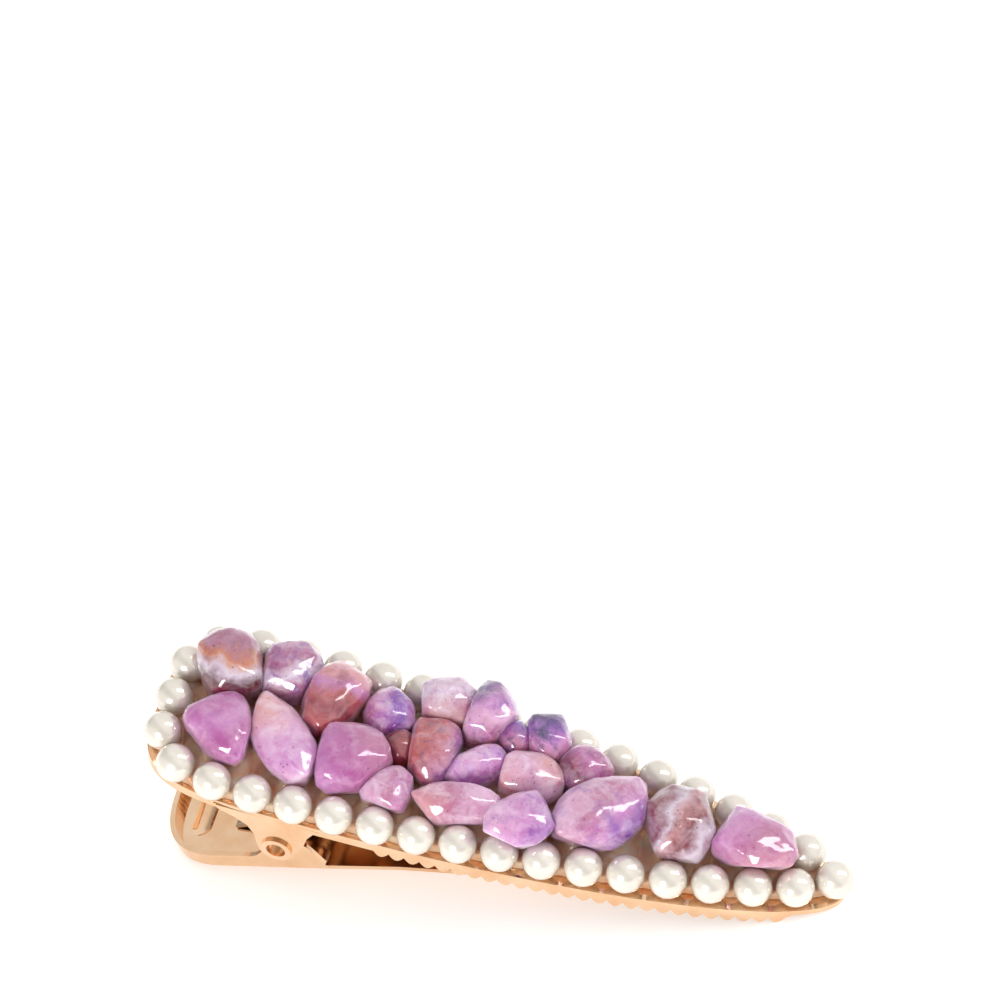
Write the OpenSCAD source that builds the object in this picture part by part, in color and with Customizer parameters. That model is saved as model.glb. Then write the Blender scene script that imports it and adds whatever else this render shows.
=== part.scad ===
// Teardrop alligator hair clip: a stamped metal top plate with a serrated skirt,
// a one-piece lever and jaw on a rivet, a leaf spring between them, and a
// glue bed on top that holds a border of beads around tumbled stone chips.
//
// The clip is drawn in the plate frame: x from the blunt end to the tip, y across,
// z = 0 on the plate's upper face. in_row_frame() then lays it down as it rests on a
// table, on the end of its lever and the last two teeth of its skirt.

/* [Plate] */
// Length of the plate over its outline
plate_length = 72.4; // [68:0.1:76]
// Width of the plate at its widest
plate_width = 19; // [18:0.1:20]
// Thickness of all sheet metal
sheet = 0.55; // [0.5:0.01:0.6]
// Height of the plain skirt under the plate's face
skirt_height = 1.15; // [1:0.05:1.3]
// Depth of the rounded teeth below the plain skirt
tooth_depth = 0.78; // [0.5:0.01:0.9]
// Distance from one tooth to the next
tooth_pitch = 1.6; // [1.4:0.05:1.8]
// Number of teeth along each side
tooth_count = 26; // [20:1:27]

/* [Lever and jaw] */
// Distance of the pivot from the blunt end's bead
pivot_x = 13.9; // [13:0.1:15]
// Distance of the pivot's axis below the plate's upper face
pivot_drop = 5.4; // [5:0.1:6]
// Angle between the plate and the lever with the jaw closed
lever_angle = 23.5; // [20:0.5:25]
// Distance of the lever's outer face below the pivot's axis
floor_drop = 4.1; // [3.9:0.05:4.3]
// Distance of the lever's end behind the pivot's axis
lever_reach = 15.4; // [14:0.1:16]
// Height of the lever's rim, sheet included
lever_rim = 1.7; // [1.2:0.05:2]
// Depth of the grip groove across the lever's floor
groove_depth = 0.3; // [0.1:0.05:0.35]
// Length of the grip groove
groove_length = 11.2; // [8:0.1:13]
// Play between the lever's ears and the plate's ears, on each side
ear_play = 0.1; // [0.05:0.01:0.15]
// Distance of the jaw's tip from the blunt end's bead
jaw_tip_x = 67.2; // [64:0.1:68]

/* [Pivot and spring] */
// Radius of the rivet's shank
shank_radius = 1.3; // [1.2:0.05:1.4]
// Radius of the rivet's heads
head_radius = 1.6; // [1.5:0.05:1.7]
// Height of a rivet head on the plate's ear
head_height = 0.3; // [0.2:0.05:0.4]
// Radius of the hollow in each end of the rivet
hollow_radius = 1; // [0.8:0.05:1.1]
// Depth of the hollow in each end of the rivet
hollow_depth = 0.75; // [0.4:0.05:2]
// Radial play of the lever's ears on the rivet
pivot_play = 0.05; // [0.03:0.01:0.08]
// Thickness of the leaf spring
spring_sheet = 0.3; // [0.2:0.05:0.35]
// Width of the leaf spring
spring_width = 9; // [6:0.5:12]

/* [Decoration] */
// Diameter of a bead
bead_diameter = 4; // [3.6:0.1:4]
// Number of bead pairs between the blunt end's bead and the tip's bead
bead_pairs = 17; // [17:1:17]
// Height of the glue bed on the plate
glue_height = 0.9; // [0.6:0.1:1.2]
// Number of corner points on a stone
stone_points = 90; // [40:2:100]

/* [Hidden] */
$fn = 64;

// Plate outline: half an ellipse at the nose, a blunt superellipse at the other end.
plate_butt_x = -1.8;
plate_tip_x = plate_butt_x + plate_length;
plate_wide_x = 15;
butt_power = 3.7;
outline_step = 3;

// Line of the bead centres, in the same form as the plate's outline.
bead_r = bead_diameter/2;
bead_tip_x = 69.4;
bead_butt_x = -0.15;
bead_line_y = 8.68;
bead_nose_power = [1.73, 1.6];
bead_butt_power = 4.4;
bead_steps = 360;

// Side view of the skirt.
first_tooth_x = plate_tip_x - 5.1 - tooth_count*tooth_pitch;
last_tooth_x = first_tooth_x + tooth_count*tooth_pitch;
last_tooth_run = 0.6;
bow_height = 0.7;
tooth_facets = 6;
skirt_room = 4;

// Ears. The lower arm's ears stand inside the plate's.
ear_radius = 2.05;
plate_ear_y = plate_width/2;
arm_y = plate_ear_y - sheet - ear_play;

// Lever, in a frame at the pivot that turns with it.
lever_end_u = -lever_reach;
lever_wide_u = -8;
lever_butt_power = 2.6;
fold_u = 4.1;
groove_u = -11.6;
groove_radius = 2.2;
groove_w = -floor_drop + sheet + groove_radius - groove_depth;

// Jaw: a flat blade from the fold to the plate's tip, closed with a hair of play.
closed_play = 0.06;
fold_mid = -floor_drop + sheet/2;
fold_x = pivot_x + fold_u*cos(lever_angle) - fold_mid*sin(lever_angle);
fold_z = -pivot_drop + fold_u*sin(lever_angle) + fold_mid*cos(lever_angle);
jaw_rise = -sheet - closed_play - sheet/2 - fold_z;
jaw_run = jaw_tip_x - fold_x;
jaw_angle = atan2(jaw_rise, jaw_run);
jaw_length = norm([jaw_run, jaw_rise]);
jaw_tip_r = 1.8;
jaw_shoulder = [7.2, 7.3];
jaw_waist = [13.5, 6.3];
// The fold between lever and jaw is a little fuller than the sheet, so both end inside it.
bend_r = sheet/2 + 0.01;

// Spring: its bend wraps the rivet, one leg under the plate and one on the lever.
spring_play = 0.05;
spring_clearance = 0.15;
spring_r = shank_radius + spring_clearance + spring_sheet/2;
spring_top = [-7.4, pivot_drop - sheet - spring_play - spring_sheet/2];
spring_low_u = -7.6;
spring_low_w = -floor_drop + sheet + spring_play + spring_sheet/2;
spring_low = [
    spring_low_u*cos(lever_angle) - spring_low_w*sin(lever_angle),
    spring_low_u*sin(lever_angle) + spring_low_w*cos(lever_angle)
];

// Glue bed: between the bead line and the plate's edge.
glue_margin = 0.35;
glue_play = 0.02;

// Rest on a table: on the lever's end and the last teeth.
rest_end = [
    pivot_x + lever_end_u*cos(lever_angle) + floor_drop*sin(lever_angle),
    -pivot_drop + lever_end_u*sin(lever_angle) - floor_drop*cos(lever_angle)
];
rest_tooth = [last_tooth_x - tooth_pitch/2, -skirt_height - tooth_depth];
tilt = atan2(rest_tooth[1] - rest_end[1], rest_tooth[0] - rest_end[0]);
rest_drop = -rest_end[0]*sin(tilt) + rest_end[1]*cos(tilt);
lip_end = rest_end + lever_rim*[-sin(lever_angle), cos(lever_angle)];
row_min_x = lip_end[0]*cos(tilt) + lip_end[1]*sin(tilt);
row_max_x = bead_tip_x*cos(tilt) + bead_r*sin(tilt) + bead_r;

// Stones: x, y, length, width, height, turn, corners of the plan, taper. Length, width and
// taper are those of the loose stone, before its neighbours squeeze it. Places and sizes go
// in half millimetres and turns in steps of 5 degrees, as loose chips have no finer order.
STONES = [
    [4.5, 4, 8, 6, 6, 120, 5, 0.05],
    [10.5, 5.5, 6.5, 5.5, 5.5, 90, 5, 0.05],
    [15.5, 3.5, 8.5, 5.5, 5.5, 260, 3, 0.15],
    [6, -3, 8, 6, 5, -45, 3, 0.1],
    [12, -2.5, 11.5, 5, 5, 135, 4, 0.15],
    [19.5, -2.5, 8, 7, 5.5, 15, 3, 0.05],
    [21.5, 3.5, 5.5, 4.5, 5, -75, 4, 0.05],
    [24, -5, 5, 4.5, 4.5, 70, 3, 0.15],
    [27, 6.5, 6, 5, 6, 20, 5, 0.05],
    [31.5, 6, 7, 5.5, 6.5, 105, 3, 0.25],
    [27, 1, 7, 6, 5, -75, 5, 0.05],
    [31.5, 0.5, 8, 3.5, 4.5, 220, 3, 0.1],
    [37.5, 5.5, 5.5, 4.5, 5.5, -70, 5, 0.1],
    [34.5, 4.5, 4, 3, 5, -70, 4, 0.05],
    [37, 1, 7, 5, 5, 5, 5, 0.05],
    [42, 3.5, 5, 4.5, 5, 20, 4, 0.05],
    [31, -4.5, 9.5, 4, 5, 15, 4, 0.05],
    [37.5, -5.5, 7.5, 5.5, 6.5, 215, 3, 0.05],
    [45, -1.5, 10.5, 6.5, 6, 225, 4, 0.1],
    [53, 0, 7.5, 6.5, 6, -55, 6, 0.05],
    [61, 0, 8, 6, 6, -15, 5, 0.05],
    [23.5, 0.5, 3.5, 3, 4, -65, 4, 0.05]
];
stone_belly = 0.55;
stone_foot = 1.12;
stone_fill = 1.06;
stone_square = 0.8;
plan_square = 0.72;
stone_corner = 0.09;
stone_rough = 0.05;
stone_play = 0.02;
golden_angle = 137.508;

function two_digits(n) = n < 10 ? str("0", n) : str(n);
function stone_name(i) = str("stone_", two_digits(i + 1));
function pair_name(i) = str("pearl_pair_", two_digits(i));

// One side of a blunt end, from just behind its widest place to its middle (y = 0).
function blunt_side(wide, butt, half_w, power, step) = [
    for (a = [90 - step:-step:0])
        [wide - (wide - butt)*pow(cos(a), 2/power), half_w*pow(sin(a), 2/power)]
];

// One side of a teardrop outline, from its tip (y = 0) round to its blunt end (y = 0).
function half_outline(tip, wide, butt, half_w, nose, blunt, step) = concat(
    [for (a = [0:step:90])
        [wide + (tip - wide)*pow(cos(a), 2/nose[0]), half_w*pow(sin(a), 2/nose[1])]],
    blunt_side(wide, butt, half_w, blunt, step)
);

// Both sides of a half outline, counter-clockwise from the tip.
function both_sides(half) = concat(
    half,
    [for (i = [len(half) - 2:-1:1]) [half[i][0], -half[i][1]]]
);

// A counter-clockwise outline moved inwards by d along its normals.
function inset(points, d) = let(n = len(points)) [
    for (i = [0:n - 1])
        let(
            before = points[(i + n - 1) % n],
            after = points[(i + 1) % n],
            along = (after - before)/norm(after - before)
        )
        points[i] + d*[-along[1], along[0]]
];

function plate_outline() = both_sides(half_outline(
    plate_tip_x, plate_wide_x, plate_butt_x, plate_width/2, [2, 2], butt_power, outline_step));

// The bead line as many short chords, and the length walked up to each of its points.
bead_half = half_outline(
    bead_tip_x, plate_wide_x, bead_butt_x, bead_line_y,
    bead_nose_power, bead_butt_power, 180/bead_steps);
function walked(points) = [
    for (i = 0, s = 0; i < len(points);
        s = s + (i < len(points) - 1 ? norm(points[i + 1] - points[i]) : 0), i = i + 1) s
];
bead_walk = walked(bead_half);
bead_gap = bead_walk[len(bead_walk) - 1]/(bead_pairs + 1);

// Centre of bead i on the +y side: 0 is the tip's bead, bead_pairs + 1 the blunt end's.
function bead_place(i) = [
    lookup(i*bead_gap, [for (k = [0:len(bead_half) - 1]) [bead_walk[k], bead_half[k][0]]]),
    i == 0 || i == bead_pairs + 1 ? 0
        : lookup(i*bead_gap, [for (k = [0:len(bead_half) - 1]) [bead_walk[k], bead_half[k][1]]])
];

// Lays the clip down on its lever's end and its last teeth.
module in_row_frame() {
    translate([-(row_min_x + row_max_x)/2, 0, -rest_drop]) rotate([0, tilt, 0]) children();
}

// x along the lever, z away from its floor, origin on the pivot's axis.
module in_lever_frame() {
    translate([pivot_x, 0, -pivot_drop]) rotate([0, -lever_angle, 0]) children();
}

// Draws a side view, whose y is the height, as a wall from y0 to y1.
module side_wall(points, y0, y1) {
    translate([0, y1, 0]) rotate([90, 0, 0]) linear_extrude(y1 - y0) polygon(points);
}

// The same wall on both sides of the clip, its outer face at y = outer.
module both_walls(points, outer, thick) {
    side_wall(points, outer - thick, outer);
    side_wall(points, -outer, -outer + thick);
}

// A cylinder across the clip.
module crosswise(x, z, r, length) {
    translate([x, length/2, z]) rotate([90, 0, 0]) cylinder(h = length, r = r);
}

function arc(center, r, from, to, steps) = [
    for (i = [0:steps]) let(a = from + (to - from)*i/steps) center + r*[cos(a), sin(a)]
];

// Side view of all that the skirt keeps: plain, then toothed, then a low bow at the tip.
function skirt_side() = concat(
    [[plate_tip_x + sheet, sheet], [plate_butt_x - sheet, sheet],
        [plate_butt_x - sheet, -skirt_height]],
    [for (i = [0:tooth_count*tooth_facets])
        [first_tooth_x + i*tooth_pitch/tooth_facets,
            -skirt_height - tooth_depth*abs(sin(180*i/tooth_facets))]],
    [[last_tooth_x + last_tooth_run, -bow_height], [plate_tip_x + sheet, -bow_height]]
);

// Side view of a plate ear, with a long fillet into the skirt behind the pivot.
function plate_ear_side() = concat(
    [[18.2, -sheet], [17.6, -skirt_height], [17.0, -2.2], [16.7, -3.6]],
    arc([pivot_x, -pivot_drop], ear_radius, 0, -165, 16),
    [[11.4, -3.8], [10.7, -2.7], [9.3, -1.8], [7.6, -skirt_height], [7, -sheet]]
);

module top_plate() {
    outer = plate_outline();
    inner = inset(outer, sheet);
    side = skirt_side();
    color("#e8b48c") difference() {
        union() {
            intersection() {
                difference() {
                    translate([0, 0, -skirt_room]) linear_extrude(skirt_room) polygon(outer);
                    translate([0, 0, -sheet - skirt_room]) linear_extrude(skirt_room)
                        polygon(inner);
                }
                side_wall(side, -plate_width, plate_width);
            }
            both_walls(plate_ear_side(), plate_ear_y, sheet);
        }
        crosswise(pivot_x, -pivot_drop, shank_radius, 2*plate_width);
    }
}

// Side view of a lower-arm ear in the lever's frame.
function arm_ear_side() = concat(
    [[fold_u, -floor_drop + sheet/2], [2.9, -0.6]],
    arc([0, 0], ear_radius, 10, 170, 14),
    [[-2.2, -0.7], [-2.6, -1.6], [-3.4, -2.2], [-4.2, lever_rim - floor_drop],
        [-4.2, -floor_drop + sheet/2]]
);

// Half widths of the jaw's blade along its length, from the fold to the rounded tip.
function jaw_outline() = both_sides(concat(
    arc([jaw_length - jaw_tip_r, 0], jaw_tip_r, 0, 80, 8),
    [jaw_waist, jaw_shoulder, [0, arm_y], [0, 0]]
));

// Plan of the lever: a blunt end and straight sides up to u = front.
function lever_plan(front) = both_sides(concat(
    [[front, 0], [front, arm_y], [lever_wide_u, arm_y]],
    blunt_side(lever_wide_u, lever_end_u, arm_y, lever_butt_power, outline_step)
));

// Groove across the lever's floor, with round ends.
module grip_groove() {
    end = groove_length/2 - sqrt(pow(groove_radius, 2) - pow(groove_radius - groove_depth, 2));
    crosswise(groove_u, groove_w, groove_radius, 2*end);
    for (side = [-1, 1])
        translate([groove_u, side*end, groove_w]) sphere(r = groove_radius);
}

module lower_arm() {
    color("#e8b48c") {
        in_lever_frame() difference() {
            union() {
                translate([0, 0, -floor_drop]) linear_extrude(sheet)
                    polygon(lever_plan(fold_u));
                translate([0, 0, -floor_drop]) linear_extrude(lever_rim)
                    polygon(lever_plan(0));
                both_walls(arm_ear_side(), arm_y, sheet);
            }
            translate([0, 0, -floor_drop + sheet]) linear_extrude(ear_radius + floor_drop)
                polygon(inset(lever_plan(fold_u + 1), sheet));
            grip_groove();
            crosswise(0, 0, shank_radius + pivot_play, 2*plate_width);
        }
        translate([fold_x, 0, fold_z]) {
            crosswise(0, 0, bend_r, 2*arm_y);
            rotate([0, -jaw_angle, 0]) translate([0, 0, -sheet/2])
                linear_extrude(sheet) polygon(jaw_outline());
        }
    }
}

module pivot_rivet() {
    half = plate_width/2 + head_height;
    color("#f0c39c") difference() {
        union() {
            crosswise(pivot_x, -pivot_drop, shank_radius, plate_width);
            for (side = [-1, 1])
                translate([0, side*(half - head_height/2), 0])
                    crosswise(pivot_x, -pivot_drop, head_radius, head_height);
        }
        for (side = [-1, 1])
            translate([0, side*half, 0])
                crosswise(pivot_x, -pivot_drop, hollow_radius, 2*hollow_depth);
    }
}

// Where a line from point p touches the spring's bend, as an angle; side is 1 above, -1 below.
function touch_angle(p, side) = atan2(p[1], p[0]) - side*acos(spring_r/norm(p));

module leaf_spring() {
    top_a = touch_angle(spring_top, 1);
    low_a = touch_angle(spring_low, -1);
    top_dir = (spring_top - spring_r*[cos(top_a), sin(top_a)]);
    low_dir = (spring_low - spring_r*[cos(low_a), sin(low_a)]);
    top_n = [-top_dir[1], top_dir[0]]/norm(top_dir)*spring_sheet/2;
    low_n = [-low_dir[1], low_dir[0]]/norm(low_dir)*spring_sheet/2;
    profile = concat(
        [spring_top + top_n, spring_top - top_n],
        arc([0, 0], spring_r + spring_sheet/2, top_a, low_a, 16),
        [spring_low + low_n, spring_low - low_n],
        arc([0, 0], spring_r - spring_sheet/2, low_a, top_a, 16)
    );
    color("#d99a6c") translate([pivot_x, 0, -pivot_drop])
        side_wall(profile, -spring_width/2, spring_width/2);
}

module pearl(i, side) {
    place = bead_place(i);
    color("#f4ece0") translate([place[0], side*place[1], bead_r]) sphere(r = bead_r);
}

module pearl_pair(i) {
    for (side = [-1, 1]) pearl(i, side);
}

module glue_bed() {
    bed = both_sides(half_outline(
        bead_tip_x + glue_margin, plate_wide_x, bead_butt_x - glue_margin,
        bead_line_y + glue_margin, bead_nose_power, bead_butt_power, outline_step));
    color("#e9c9a0") difference() {
        linear_extrude(glue_height) polygon(bed);
        for (i = [0:bead_pairs + 1], side = [-1, 1]) {
            place = bead_place(i);
            translate([place[0], side*place[1], bead_r]) sphere(r = bead_r + glue_play);
        }
    }
}

// A stone's heart: the point inside it that its neighbours press towards.
function heart(i) = [STONES[i][0], STONES[i][1], glue_height + stone_belly*STONES[i][4]];

// Half the loose stone's extent in the plan direction that points at angle a.
function reach(i, a) = norm([
    STONES[i][2]/2*cos(a - STONES[i][5]), STONES[i][3]/2*sin(a - STONES[i][5])]);

// The planes that hold stone i, each as a direction and a distance from the stone's heart:
// one midway to every other stone, one touching every bead, and one on the glue bed.
function holding_planes(i) = let(h = heart(i)) concat(
    [for (k = [0:len(STONES) - 1]) if (k != i)
        let(
            away = [STONES[k][0] - h[0], STONES[k][1] - h[1], 0],
            a = atan2(away[1], away[0]),
            share = reach(i, a)/(reach(i, a) + reach(k, a))
        )
        [away/norm(away), share*norm(away) - stone_play]],
    [for (k = [0:bead_pairs + 1], side = [-1, 1])
        let(
            place = bead_place(k),
            away = [place[0], side*place[1], bead_r] - h
        )
        [away/norm(away), norm(away) - bead_r - stone_play]],
    [[[0, 0, -1], h[2] - glue_height]]
);

// How far a point at offset p from a stone's heart may go, as a share of p.
function kept_share(p, planes) = min([for (q = planes) q[0]*p > q[1] ? q[1]/(q[0]*p) : 1]);

// A sine or cosine flattened towards its extremes, which squares an ellipse.
function squared(c) = sign(c)*pow(abs(c), plan_square);

// Corner points of a tumbled stone, from its heart: a squared ellipsoid whose plan is pulled
// out at a few corners and tapered to one end, squeezed by what lies around it.
function stone_shape(i) = let(
    row = STONES[i],
    jitter = rands(-stone_rough, stone_rough, stone_points, i + 1),
    planes = holding_planes(i)
) [
    for (k = [0:stone_points - 1])
        let(
            up = 1 - 2*(k + 0.5)/stone_points,
            a = k*golden_angle,
            flat = pow(sqrt(1 - up*up), stone_square),
            pull = 1 + stone_corner*cos(row[6]*a) + jitter[k],
            u = flat*squared(cos(a))*pull*stone_fill*row[2]/2,
            v = flat*squared(sin(a))*pull*(1 - row[7]*cos(a))*stone_fill*row[3]/2,
            w = up*row[4]*(up > 0 ? 1 - stone_belly : stone_foot*stone_belly),
            p = [u*cos(row[5]) - v*sin(row[5]), u*sin(row[5]) + v*cos(row[5]), w]
        )
        p*kept_share(p, planes)
];

module stone(i) {
    points = stone_shape(i);
    color("#b57cc9") translate(heart(i))
        hull() polyhedron(points, [[for (k = [0:len(points) - 1]) k]]);
}

in_row_frame() top_plate();
in_row_frame() lower_arm();
in_row_frame() pivot_rivet();
in_row_frame() leaf_spring();
in_row_frame() glue_bed();
in_row_frame() pearl(bead_pairs + 1, 1);  // pearl_butt
in_row_frame() pearl(0, 1);  // pearl_tip
for (i = [1:bead_pairs])
    in_row_frame() pearl_pair(i);
for (i = [0:len(STONES) - 1])
    in_row_frame() stone(i);
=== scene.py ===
import math

import bmesh
import bpy
import numpy as np
from mathutils import Matrix, Vector, noise
from mathutils.bvhtree import BVHTree


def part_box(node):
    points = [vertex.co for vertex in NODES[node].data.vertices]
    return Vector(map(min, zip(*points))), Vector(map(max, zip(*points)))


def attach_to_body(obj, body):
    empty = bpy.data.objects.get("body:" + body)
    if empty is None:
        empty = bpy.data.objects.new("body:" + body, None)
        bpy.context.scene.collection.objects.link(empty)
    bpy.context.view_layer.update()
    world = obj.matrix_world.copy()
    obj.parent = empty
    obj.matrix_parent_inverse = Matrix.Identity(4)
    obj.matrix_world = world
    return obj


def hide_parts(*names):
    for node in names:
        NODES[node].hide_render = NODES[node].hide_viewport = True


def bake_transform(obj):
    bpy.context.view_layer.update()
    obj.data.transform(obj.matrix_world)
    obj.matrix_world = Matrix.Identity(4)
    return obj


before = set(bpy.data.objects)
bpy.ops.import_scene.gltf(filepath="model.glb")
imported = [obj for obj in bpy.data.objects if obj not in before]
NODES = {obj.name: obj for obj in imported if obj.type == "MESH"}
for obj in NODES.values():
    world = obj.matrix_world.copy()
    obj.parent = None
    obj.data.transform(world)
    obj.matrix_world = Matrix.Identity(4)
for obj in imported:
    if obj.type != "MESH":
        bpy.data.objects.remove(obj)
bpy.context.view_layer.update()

# Teardrop hair clip. Lengths are in metres. "Plate frame" means x along the plate from
# its blunt end to its tip, y across it and z away from its face.

MM = 0.001

# Camera: where it stands round the object, and how far above and left of the object's
# middle it aims. The middle is VIEW_MIDDLE above the floor.
VIEW_AZIMUTH = math.radians(26.97)
VIEW_ELEVATION = math.radians(50.60)
VIEW_ROLL = math.radians(-13.29)
VIEW_DISTANCE = 0.8891
VIEW_ABOVE = 0.03025
VIEW_LEFT = 0.44 * MM
VIEW_MIDDLE = 8 * MM
VIEW_LENS = 317.06

# Studio: the direction across the tent's dim band and its greys, where the two lights are
# and their watts, and half the floor's width.
BAND_ACROSS = (0.574, 0.748, 0.334)
STUDIO_BAND = [(0.24, 0.90), (0.36, 0.48), (0.52, 0.48), (0.64, 1.00)]
KEY_FROM = (-0.16, -0.92, 0.40)
KEY_POWER = 3.6
STRIP_FROM = (0.64, 0.35, 0.68)
STRIP_POWER = 2.4
FLOOR_HALF = 3.0

# Mesh work.
STONE_VOXEL = 0.20 * MM
STONE_SMOOTHING = 2
STONE_SWELL = 0.14 * MM
STONE_DENT = 0.10 * MM
GLUE_VOXEL = 0.20 * MM
GLUE_SMOOTHING = 3
GLUE_FLAT = 0.4 * MM
GLUE_RIPPLE = 0.08 * MM
GLUE_FADE = 0.8 * MM
BEAD_CLIMB = 0.8 * MM
BEAD_REACH = 0.35 * MM
STONE_CLIMB = 2.1 * MM
STONE_REACH = 0.75 * MM
PEARL_RIPPLE = 0.010 * MM


# ---------------------------------------------------------------- places from the frame


def middle(low, high):
    return (Vector(low) + Vector(high)) / 2


def pearl_centres(node):
    """Centres of the beads in a pearl node: one, or one on each side of the clip."""
    points = [v.co for v in NODES[node].data.vertices]
    low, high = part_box(node)
    if high.y - low.y < 2 * (high.z - low.z):
        return [middle(low, high)]
    found = []
    for side in (-1, 1):
        half = [p for p in points if p.y * side > 0]
        found.append(middle([min(p[i] for p in half) for i in range(3)],
                            [max(p[i] for p in half) for i in range(3)]))
    return found


PEARL_NODES = sorted(n for n in NODES if n.startswith("pearl_"))
STONE_NODES = sorted(n for n in NODES if n.startswith("stone_"))
BUTT = pearl_centres("pearl_butt")[0]
TIP = pearl_centres("pearl_tip")[0]
BEAD_CENTRES = [c for n in PEARL_NODES for c in pearl_centres(n)]
PEARL_R = (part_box("pearl_tip")[1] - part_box("pearl_tip")[0]).y / 2
PLATE_X = (TIP - BUTT).normalized()
PLATE_Y = Vector((0, 1, 0))
PLATE_Z = PLATE_X.cross(PLATE_Y)


def on_plate(point):
    """Height of a point above the plate's face."""
    return (point - BUTT).dot(PLATE_Z) + PEARL_R


# ---------------------------------------------------------------- mesh helpers


def new_piece(name, mesh):
    piece = bpy.data.objects.new(name, mesh)
    bpy.context.scene.collection.objects.link(piece)
    return piece


def settle(piece):
    """Applies the piece's modifiers, so that the mesh is final."""
    bpy.context.view_layer.update()
    graph = bpy.context.evaluated_depsgraph_get()
    mesh = bpy.data.meshes.new_from_object(piece.evaluated_get(graph))
    piece.modifiers.clear()
    piece.data = mesh
    mesh.shade_smooth()


def rounded(piece, voxel, passes):
    """Remeshes a closed piece evenly and rounds off its corners."""
    remesh = piece.modifiers.new("even", "REMESH")
    remesh.mode = "VOXEL"
    remesh.voxel_size = voxel
    smooth = piece.modifiers.new("round", "SMOOTH")
    smooth.factor = 0.5
    smooth.iterations = passes
    settle(piece)


def welded_copy(node):
    """A copy of a CAD node's mesh with its split corners joined."""
    work = bmesh.new()
    work.from_mesh(NODES[node].data)
    bmesh.ops.remove_doubles(work, verts=work.verts, dist=0.001 * MM)
    mesh = bpy.data.meshes.new(node)
    work.to_mesh(mesh)
    work.free()
    return mesh


def move_points(mesh, shift):
    """Moves each point by shift(point, normal)."""
    count = len(mesh.vertices)
    points = np.empty(3 * count, np.float32)
    normals = np.empty(3 * count, np.float32)
    mesh.vertices.foreach_get("co", points)
    mesh.vertex_normals.foreach_get("vector", normals)
    points = points.reshape(-1, 3)
    normals = normals.reshape(-1, 3)
    moved = [p + np.array(shift(Vector(p), Vector(n))) for p, n in zip(points, normals)]
    mesh.vertices.foreach_set("co", np.array(moved, np.float32).ravel())
    mesh.update()


# ---------------------------------------------------------------- node helpers


def tone(code):
    """A colour written as #rrggbb, as the linear value that nodes take."""
    parts = [int(code[i:i + 2], 16) / 255 for i in (1, 3, 5)]
    linear = [c / 12.92 if c <= 0.04045 else ((c + 0.055) / 1.055) ** 2.4 for c in parts]
    return (*linear, 1.0)


class Graph:
    """A material's node tree: add() makes a node, sets it and wires its inputs."""

    def __init__(self, name):
        self.material = bpy.data.materials.new(name)
        self.material.use_nodes = True
        self.tree = self.material.node_tree
        self.tree.nodes.clear()
        self.output = self.tree.nodes.new("ShaderNodeOutputMaterial")

    def add(self, kind, inputs=None, **settings):
        node = self.tree.nodes.new("ShaderNode" + kind)
        for key, value in settings.items():
            setattr(node, key, value)
        for key, value in (inputs or {}).items():
            if isinstance(value, bpy.types.NodeSocket):
                self.tree.links.new(value, node.inputs[key])
            else:
                node.inputs[key].default_value = value
        return node

    def math(self, operation, a, b=0.0, c=0.0):
        return self.add("Math", {0: a, 1: b, 2: c}, operation=operation).outputs[0]

    def vector(self, operation, a, b=(0, 0, 0), scale=1.0):
        node = self.add("VectorMath", {0: a, 1: b}, operation=operation)
        if operation == "SCALE":
            node.inputs["Scale"].default_value = scale
        return node.outputs["Value" if operation == "DOT_PRODUCT" else "Vector"]

    def noise(self, place, scale, detail=3.0, rough=0.55, warp=0.0):
        return self.add("TexNoise", {"Vector": place, "Scale": scale, "Detail": detail,
                                     "Roughness": rough, "Distortion": warp})

    def ramp(self, value, stops):
        node = self.add("ValToRGB", {"Fac": value})
        marks = node.color_ramp.elements
        while len(marks) < len(stops):
            marks.new(0.5)
        for mark, (place, colour) in zip(marks, stops):
            mark.position = place
            mark.color = tone(colour) if isinstance(colour, str) else (colour,) * 3 + (1,)
        return node.outputs["Color"]

    def mix(self, factor, a, b):
        node = self.add("Mix", data_type="RGBA")
        for socket, value in ((node.inputs[0], factor), (node.inputs[6], a), (node.inputs[7], b)):
            if isinstance(value, bpy.types.NodeSocket):
                self.tree.links.new(value, socket)
            else:
                socket.default_value = value
        return node.outputs[2]

    def surface(self, inputs):
        shader = self.add("BsdfPrincipled", inputs)
        self.tree.links.new(shader.outputs["BSDF"], self.output.inputs["Surface"])
        return self.material


def paint(piece, material):
    """Every material slot of a piece gets this material."""
    if not piece.material_slots:
        piece.data.materials.append(material)
    for slot in piece.material_slots:
        slot.link = "OBJECT"
        slot.material = material


# ---------------------------------------------------------------- materials


def rose_gold(name, colour="#eccaa8", grain=1.0):
    """Polished plated metal: a faint haze, hairline scratches and a little cloudiness."""
    g = Graph(name)
    place = g.add("TexCoord").outputs["Object"]
    haze = g.noise(place, 220.0, 4.0)
    streaks = g.vector("MULTIPLY", place, (60.0, 1500.0, 900.0))
    hairline = g.noise(streaks, 1.0, 2.0)
    base = g.mix(g.ramp(haze.outputs["Fac"], [(0.35, 0.0), (0.75, 1.0)]),
                 tone(colour), tone("#e0b084"))
    rough = g.math("MULTIPLY_ADD", haze.outputs["Fac"], 0.14, 0.05)
    bump = g.add("Bump", {"Height": hairline.outputs["Fac"], "Strength": 0.05 * grain,
                          "Distance": 0.02 * MM})
    wave = g.noise(place, 260.0, 1.0)
    soft = g.add("Bump", {"Height": wave.outputs["Fac"], "Strength": 0.25 * grain,
                          "Distance": 0.10 * MM, "Normal": bump.outputs["Normal"]})
    return g.surface({"Base Color": base, "Metallic": 1.0, "Roughness": rough,
                      "Normal": soft.outputs["Normal"]})


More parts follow.
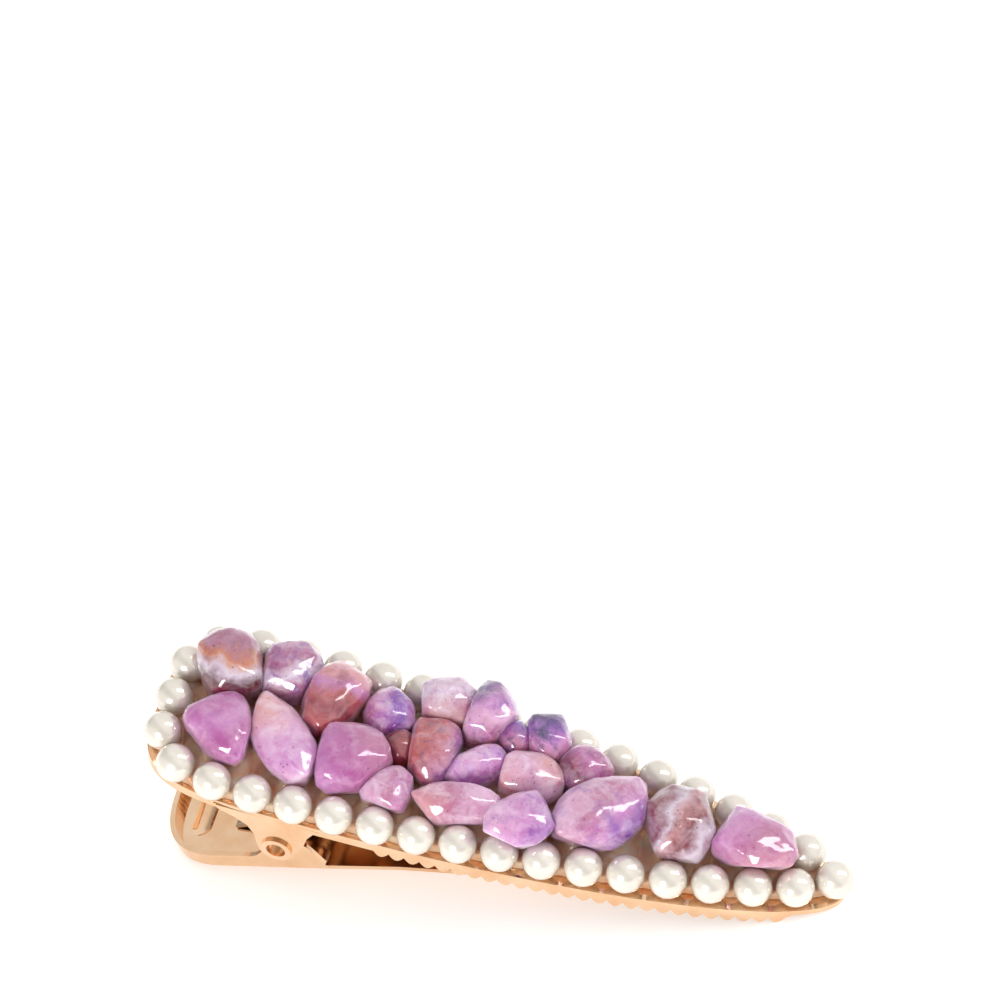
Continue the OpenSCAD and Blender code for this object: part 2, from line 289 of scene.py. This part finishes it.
def spring_steel():
    """Brushed strip steel with a light gold wash."""
    g = Graph("spring_steel")
    place = g.add("TexCoord").outputs["Object"]
    streaks = g.noise(g.vector("MULTIPLY", place, (90.0, 4000.0, 90.0)), 1.0, 3.0)
    base = g.ramp(streaks.outputs["Fac"], [(0.3, "#a98b73"), (0.7, "#d9bda0")])
    rough = g.math("MULTIPLY_ADD", streaks.outputs["Fac"], 0.2, 0.18)
    bump = g.add("Bump", {"Height": streaks.outputs["Fac"], "Strength": 0.2,
                          "Distance": 0.01 * MM})
    return g.surface({"Base Color": base, "Metallic": 1.0, "Roughness": rough,
                      "Normal": bump.outputs["Normal"]})


def pearl_lacquer():
    """Pearl lacquer: a cream body, a satin lustre, clouds, rims painted darker beige by viewing
    angle (painted shade) and a clear gloss coat.
    """
    g = Graph("pearl_lacquer")
    place = g.add("TexCoord").outputs["Object"]
    clouds = g.noise(place, 420.0, 3.0)
    body = g.ramp(clouds.outputs["Fac"], [(0.3, "#d8cfc3"), (0.5, "#dfd7cb"), (0.7, "#e4ddd3")])
    # Painted shade: the rims are mixed towards a darker beige by viewing angle (Layer Weight
    # Facing).
    painted_rim_mask = g.add("LayerWeight", {"Blend": 0.35}).outputs["Facing"]
    body = g.mix(g.ramp(painted_rim_mask, [(0.25, 0.0), (0.95, 0.55)]), body, tone("#cdbda8"))
    peel = g.noise(place, 1900.0, 2.0)
    rough = g.math("MULTIPLY_ADD", clouds.outputs["Fac"], 0.10, 0.17)
    bump = g.add("Bump", {"Height": peel.outputs["Fac"], "Strength": 0.06,
                          "Distance": 0.02 * MM})
    return g.surface({"Base Color": body, "Metallic": 0.35, "Roughness": rough,
                      "Subsurface Weight": 0.15, "Subsurface Radius": (1.0, 0.8, 0.6),
                      "Subsurface Scale": 0.5 * MM, "Coat Weight": 1.0,
                      "Coat Roughness": 0.06, "Coat IOR": 1.8,
                      "Normal": bump.outputs["Normal"]})


def clear_glue():
    """Clear glue with an amber tint, partly its own and partly a painted reflection of the copper
    plate beneath, ripples and tiny bubbles near the surface.
    """
    g = Graph("clear_glue")
    place = g.add("TexCoord").outputs["Object"]
    ripple = g.noise(place, 520.0, 3.0, warp=0.6)
    bubbles = g.add("TexVoronoi", {"Vector": place, "Scale": 1400.0})
    dots = g.ramp(bubbles.outputs["Distance"], [(0.05, 1.0), (0.16, 0.0)])
    height = g.math("MULTIPLY_ADD", dots, 0.25, ripple.outputs["Fac"])
    bump = g.add("Bump", {"Height": height, "Strength": 0.35, "Distance": 0.12 * MM})
    # Partly painted reflection: the peach-copper tint stands in for the rose-gold plate seen through
    # the glue, on top of the glue's own amber.
    tint = g.ramp(ripple.outputs["Fac"], [(0.3, "#ffb488"), (0.7, "#ffdcc0")])
    return g.surface({"Base Color": tint, "Roughness": 0.05, "IOR": 1.47,
                      "Transmission Weight": 0.4, "Subsurface Weight": 0.7,
                      "Subsurface Radius": (1.0, 0.6, 0.35), "Subsurface Scale": 1.0 * MM,
                      "Normal": bump.outputs["Normal"]})


# The colours that the stones are made of; the milk white also paints a pale highlight on the stones'
# rims (painted highlight).
MILK_AND_RIM_HIGHLIGHT = "#eedff0"
PALE = "#dcaccc"
BLUSH = "#d79a9c"
LILAC = "#c680bc"
MAUVE = "#bb7296"
ORCHID = "#b05498"
VIOLET = "#7c3aa4"
INK = "#33155e"
ROSE = "#b54f50"
WINE = "#8c2038"
CLARET = "#5e1026"
PEACH = "#dd8a5e"
HAZE = "#efd9eb"
VEIN = "#a968cf"
SPECK = "#4a2576"

# Directions in which a stone's bands run at a turn of 0 and of 90 degrees.
ACROSS = Vector((0.95, 0.28, -0.15))
UPWARD = Vector((-0.14, 0.77, 0.62))


def quartz_colour(g, node, turn, zones, milk=HAZE, milk_share=0.5, vein=VEIN,
                  vein_share=0.6, speck=SPECK, speck_share=0.7):
    """A stone's colour and relief: zones across it, milky clouds, smoky veins and specks."""
    low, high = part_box(node)
    size = (high - low).length / 2
    place = g.add("TexCoord").outputs["Object"]
    place = g.vector("SUBTRACT", place, middle(low, high))
    place = g.vector("SCALE", place, scale=1 / size)
    seed = int(node[-2:]) * 3.7
    seeded = g.vector("ADD", place, (seed, 2 * seed, -seed))
    bend = g.noise(seeded, 1.8, 4.0)
    bend = g.vector("SUBTRACT", bend.outputs["Color"], (0.5, 0.5, 0.5))
    warped = g.vector("ADD", place, g.vector("SCALE", bend, scale=0.9))
    line = ACROSS * math.cos(math.radians(turn)) + UPWARD * math.sin(math.radians(turn))
    along = g.vector("DOT_PRODUCT", warped, line)
    along = g.math("MULTIPLY_ADD", along, 0.8, 0.5)
    colour = g.ramp(along, zones)
    clouds = g.noise(seeded, 3.2, 6.0, 0.65, 0.6)
    cloud_mask = g.ramp(clouds.outputs["Fac"], [(0.44, 0.0), (0.66, milk_share)])
    colour = g.mix(cloud_mask, colour, tone(milk))
    smoke = g.noise(g.vector("ADD", seeded, g.vector("SCALE", bend, scale=0.6)), 2.6, 5.0, 0.6)
    smoke_mask = g.ramp(smoke.outputs["Fac"], [(0.50, 0.0), (0.70, vein_share)])
    colour = g.mix(smoke_mask, colour, tone(vein))
    dots = g.add("TexVoronoi", {"Vector": seeded, "Scale": 11.0, "Randomness": 1.0})
    dot_mask = g.ramp(dots.outputs["Distance"], [(0.10, speck_share), (0.24, 0.0)])
    gate = g.ramp(clouds.outputs["Fac"], [(0.44, 1.0), (0.50, 0.0)])
    colour = g.mix(g.math("MULTIPLY", dot_mask, gate), colour, tone(speck))
    bump = g.add("Bump", {"Height": clouds.outputs["Fac"], "Strength": 0.25,
                          "Distance": 0.15 * MM})
    return colour, bump.outputs["Normal"]


def quartz(node, clear=0.12, **look):
    """A polished stone: light spreads inside it, its rims are painted paler by viewing angle (a
    painted highlight), and some are clearer.
    """
    g = Graph("quartz_" + node)
    colour, normal = quartz_colour(g, node, **look)
    # Painted highlight: the rims are mixed towards milk white by viewing angle (Layer Weight
    # Facing), standing in for reflections at grazing angles.
    painted_rim_mask = g.add("LayerWeight", {"Blend": 0.4}).outputs["Facing"]
    colour = g.mix(g.ramp(painted_rim_mask, [(0.3, 0.0), (0.95, 0.6)]), colour, tone(MILK_AND_RIM_HIGHLIGHT))
    return g.surface({"Base Color": colour, "Roughness": 0.12, "IOR": 1.54,
                      "Transmission Weight": clear, "Subsurface Weight": 0.8,
                      "Subsurface Radius": (1.0, 0.7, 0.9), "Subsurface Scale": 1.4 * MM,
                      "Coat Weight": 1.0, "Coat Roughness": 0.02, "Coat IOR": 1.7,
                      "Normal": normal})


def bands(*colours):
    """Colour stops spread evenly from one side of a stone to the other."""
    return [(i / (len(colours) - 1), colour) for i, colour in enumerate(colours)]


STONE_LOOKS = {
    "stone_01": dict(turn=80, zones=bands(WINE, WINE, CLARET, MILK_AND_RIM_HIGHLIGHT, PEACH, MAUVE, MAUVE),
                     clear=0.35, milk=MILK_AND_RIM_HIGHLIGHT, milk_share=0.2, vein=WINE, speck=CLARET),
    "stone_02": dict(turn=100, zones=bands(LILAC, MAUVE, MILK_AND_RIM_HIGHLIGHT, MAUVE, ORCHID),
                     clear=0.3, vein=VIOLET, vein_share=1.0),
    "stone_03": dict(turn=70, zones=bands(WINE, ROSE, WINE, ROSE, LILAC, BLUSH), milk=BLUSH,
                     milk_share=0.3, vein=WINE, speck=CLARET),
    "stone_04": dict(turn=110, zones=bands(LILAC, ORCHID, LILAC, ORCHID),
                     milk=PALE, vein=ORCHID, speck=INK, speck_share=0.4),
    "stone_05": dict(turn=-60, zones=bands(BLUSH, PALE, LILAC, PALE), milk=MILK_AND_RIM_HIGHLIGHT, vein=LILAC),
    "stone_06": dict(turn=20, zones=bands(LILAC, ORCHID, MAUVE), milk=PALE, vein=ORCHID),
    "stone_07": dict(turn=0, zones=bands(MAUVE, ORCHID, VIOLET, LILAC), speck_share=0.8),
    "stone_08": dict(turn=-20, zones=bands(PALE, MAUVE, LILAC), milk=MILK_AND_RIM_HIGHLIGHT, vein=LILAC),
    "stone_09": dict(turn=90, zones=bands(PEACH, BLUSH, MILK_AND_RIM_HIGHLIGHT, MAUVE), clear=0.25,
                     milk=MILK_AND_RIM_HIGHLIGHT, vein=ORCHID),
    "stone_10": dict(turn=100, zones=bands(ROSE, MAUVE, PALE, LILAC, INK), milk_share=0.3,
                     vein=VIOLET, vein_share=0.8),
    "stone_11": dict(turn=-30, zones=bands(ROSE, ROSE, MAUVE, VIOLET), milk_share=0.3,
                     vein=INK, vein_share=0.8, speck_share=0.9),
    "stone_12": dict(turn=-80, zones=bands(PALE, LILAC, VIOLET), milk=MILK_AND_RIM_HIGHLIGHT),
    "stone_13": dict(turn=90, zones=bands(WINE, MAUVE, LILAC, VIOLET, INK), milk=PALE,
                     milk_share=0.3, vein=INK, vein_share=1.0, speck_share=0.9),
    "stone_14": dict(turn=90, zones=bands(WINE, MAUVE, VIOLET), milk_share=0.2, vein=INK,
                     vein_share=1.0, speck_share=0.9),
    "stone_15": dict(turn=30, zones=bands(BLUSH, PALE, BLUSH), milk=MILK_AND_RIM_HIGHLIGHT, vein=MAUVE),
    "stone_16": dict(turn=40, zones=bands(LILAC, WINE, ORCHID, MAUVE), milk_share=0.3,
                     vein=INK),
    "stone_17": dict(turn=0, zones=bands(BLUSH, MAUVE, PALE), milk=MILK_AND_RIM_HIGHLIGHT, vein=MAUVE),
    "stone_18": dict(turn=-10, zones=bands(PALE, LILAC, VIOLET), vein=VIOLET),
    "stone_19": dict(turn=-40, zones=bands(PALE, MAUVE, LILAC, VIOLET), vein=VIOLET),
    "stone_20": dict(turn=150, zones=bands(WINE, MILK_AND_RIM_HIGHLIGHT, WINE, BLUSH, MILK_AND_RIM_HIGHLIGHT, WINE, WINE),
                     clear=0.35, milk=MILK_AND_RIM_HIGHLIGHT, milk_share=0.4, vein=WINE, vein_share=0.8,
                     speck=CLARET),
    "stone_21": dict(turn=120, zones=bands(BLUSH, MAUVE, LILAC), milk=PALE, vein=ORCHID),
    "stone_22": dict(turn=0, zones=bands(CLARET, WINE, ROSE), milk=ROSE, vein=CLARET),
}


# ---------------------------------------------------------------- pieces


def make_stone(node):
    """A tumbled stone: the CAD stone's corners rounded off, then dented a little."""
    piece = new_piece("tumbled_" + node, welded_copy(node))
    rounded(piece, STONE_VOXEL, STONE_SMOOTHING)
    seed = Vector((int(node[-2:]) * 11.3, 0, 0))

    def dent(point, normal):
        broad = noise.noise(point / (1.9 * MM) + seed)
        fine = noise.noise(point / (0.6 * MM) - seed)
        return normal * (STONE_SWELL + STONE_DENT * (broad + 0.2 * fine))

    move_points(piece.data, dent)
    paint(piece, quartz(node, **STONE_LOOKS[node]))
    return piece


def make_pearls(node, material):
    """The beads of one node, a hair out of round, with the ripple of dipped lacquer."""
    work = bmesh.new()
    for centre in pearl_centres(node):
        place = Matrix.Translation(centre)
        bmesh.ops.create_icosphere(work, subdivisions=5, radius=PEARL_R, matrix=place)
    mesh = bpy.data.meshes.new(node)
    work.to_mesh(mesh)
    work.free()
    mesh.shade_smooth()

    def ripple(point, normal):
        broad = noise.noise(point / (1.6 * MM))
        fine = noise.noise(point / (0.35 * MM))
        return normal * PEARL_RIPPLE * (broad - 1 + 0.25 * fine)

    move_points(mesh, ripple)
    piece = new_piece("bead_" + node, mesh)
    paint(piece, material)
    return piece


def make_spring(material):
    """The leaf spring: the CAD spring copied whole and painted, in place of the CAD node."""
    piece = new_piece("spring_strip", welded_copy("leaf_spring"))
    paint(piece, material)
    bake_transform(piece)
    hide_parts("leaf_spring")


def surfaces_of(pieces):
    """One search tree over the surfaces of several pieces."""
    work = bmesh.new()
    for piece in pieces:
        work.from_mesh(piece.data)
    tree = BVHTree.FromBMesh(work)
    work.free()
    return tree


def outer_fade(point):
    """1 inside the bead border, falling to 0 under the beads, where glue climbs less."""
    gap = min((point - c).length for c in BEAD_CENTRES)
    return min(1.0, max(0.0, (gap - PEARL_R) / GLUE_FADE))


def make_glue(material, beads, stones):
    """The glue bed, with a meniscus that climbs each bead and, higher, each stone."""
    near_bead = surfaces_of(beads)
    near_stone = surfaces_of(stones)
    piece = new_piece("glue_fill", welded_copy("glue_bed"))
    rounded(piece, GLUE_VOXEL, GLUE_SMOOTHING)

    def climb(point, normal):
        if on_plate(point) < GLUE_FLAT:
            return Vector((0, 0, 0))
        on_bead = BEAD_CLIMB * math.exp(-near_bead.find_nearest(point)[3] / BEAD_REACH)
        on_stone = STONE_CLIMB * math.exp(-near_stone.find_nearest(point)[3] / STONE_REACH)
        ripple = GLUE_RIPPLE * noise.noise(point / (1.3 * MM))
        return PLATE_Z * (max(on_bead, on_stone * outer_fade(point)) + ripple)

    move_points(piece.data, climb)
    paint(piece, material)
    return piece


def attach(piece, body, node):
    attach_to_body(piece, body)
    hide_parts(node)


# ---------------------------------------------------------------- camera, floor and light


def make_camera():
    back = Vector((math.sin(VIEW_AZIMUTH) * math.cos(VIEW_ELEVATION),
                   -math.cos(VIEW_AZIMUTH) * math.cos(VIEW_ELEVATION),
                   math.sin(VIEW_ELEVATION)))
    level = Vector((math.cos(VIEW_AZIMUTH), math.sin(VIEW_AZIMUTH), 0))
    lift = back.cross(level)
    right = level * math.cos(VIEW_ROLL) + lift * math.sin(VIEW_ROLL)
    up = back.cross(right)
    target = Vector((0, 0, VIEW_MIDDLE)) + up * VIEW_ABOVE - right * VIEW_LEFT
    place = target + back * VIEW_DISTANCE
    data = bpy.data.cameras.new("camera")
    data.lens = VIEW_LENS
    data.sensor_width = 36.0
    data.clip_start = 0.01
    data.clip_end = 20.0
    camera = bpy.data.objects.new("camera", data)
    camera.matrix_world = Matrix.Translation(place) @ Matrix((right, up, back)).transposed().to_4x4()
    bpy.context.scene.collection.objects.link(camera)
    bpy.context.scene.camera = camera


def make_floor():
    mesh = bpy.data.meshes.new("floor")
    far = FLOOR_HALF
    corners = [(-far, -far, 0), (far, -far, 0), (far, far, 0), (-far, far, 0)]
    mesh.from_pydata(corners, [], [(0, 1, 2, 3)])
    floor = new_piece("floor", mesh)
    g = Graph("floor_paper")
    place = g.add("TexCoord").outputs["Object"]
    mottle = g.noise(place, 40.0, 2.0)
    base = g.ramp(mottle.outputs["Fac"], [(0.3, "#fbfbfa"), (0.7, "#ffffff")])
    paint(floor, g.surface({"Base Color": base, "Roughness": 0.9, "Emission Color": base,
                            "Emission Strength": 0.22}))


def softbox(name, direction, distance, width, height, power):
    data = bpy.data.lights.new(name, "AREA")
    data.shape = "RECTANGLE"
    data.size = width
    data.size_y = height
    data.energy = power
    lamp = bpy.data.objects.new(name, data)
    way = Vector(direction).normalized()
    lamp.location = way * distance
    lamp.rotation_euler = way.to_track_quat("Z", "Y").to_euler()
    bpy.context.scene.collection.objects.link(lamp)


def make_studio():
    """A white tent that is dimmer in a band above the clip, where the photographer stands."""
    world = bpy.data.worlds.new("studio")
    world.use_nodes = True
    tree = world.node_tree
    place = tree.nodes.new("ShaderNodeTexCoord")
    along = tree.nodes.new("ShaderNodeVectorMath")
    along.operation = "DOT_PRODUCT"
    along.inputs[1].default_value = BAND_ACROSS
    share = tree.nodes.new("ShaderNodeMath")
    share.operation = "MULTIPLY_ADD"
    share.inputs[1].default_value = 0.5
    share.inputs[2].default_value = 0.5
    ramp = tree.nodes.new("ShaderNodeValToRGB")
    marks = ramp.color_ramp.elements
    while len(marks) < len(STUDIO_BAND):
        marks.new(0.5)
    for mark, (position, grey) in zip(marks, STUDIO_BAND):
        mark.position = position
        mark.color = (grey, grey, grey, 1)
    tree.links.new(place.outputs["Generated"], along.inputs[0])
    tree.links.new(along.outputs["Value"], share.inputs[0])
    tree.links.new(share.outputs[0], ramp.inputs["Fac"])
    tree.links.new(ramp.outputs["Color"], tree.nodes["Background"].inputs["Color"])
    bpy.context.scene.world = world


def make_light():
    make_studio()
    softbox("key", KEY_FROM, 0.8, 0.30, 0.30, KEY_POWER)
    softbox("strip", STRIP_FROM, 0.9, 0.16, 0.8, STRIP_POWER)
    bpy.context.scene.view_settings.view_transform = "Standard"


# ---------------------------------------------------------------- the clip

make_camera()
make_floor()
make_light()

metal = rose_gold("rose_gold")
paint(NODES["top_plate"], metal)
paint(NODES["lower_arm"], metal)
paint(NODES["pivot_rivet"], rose_gold("rose_gold_bright", "#f3d0b0", 0.5))
make_spring(spring_steel())

lacquer = pearl_lacquer()
pearls = [make_pearls(node, lacquer) for node in PEARL_NODES]
stones = [make_stone(node) for node in STONE_NODES]
glue = make_glue(clear_glue(), pearls, stones)
for pearl_node, pearl_piece in zip(PEARL_NODES, pearls):
    attach(pearl_piece, "plate", pearl_node)
for stone_node, stone_piece in zip(STONE_NODES, stones):
    attach(stone_piece, "plate", stone_node)
attach(glue, "plate", "glue_bed")
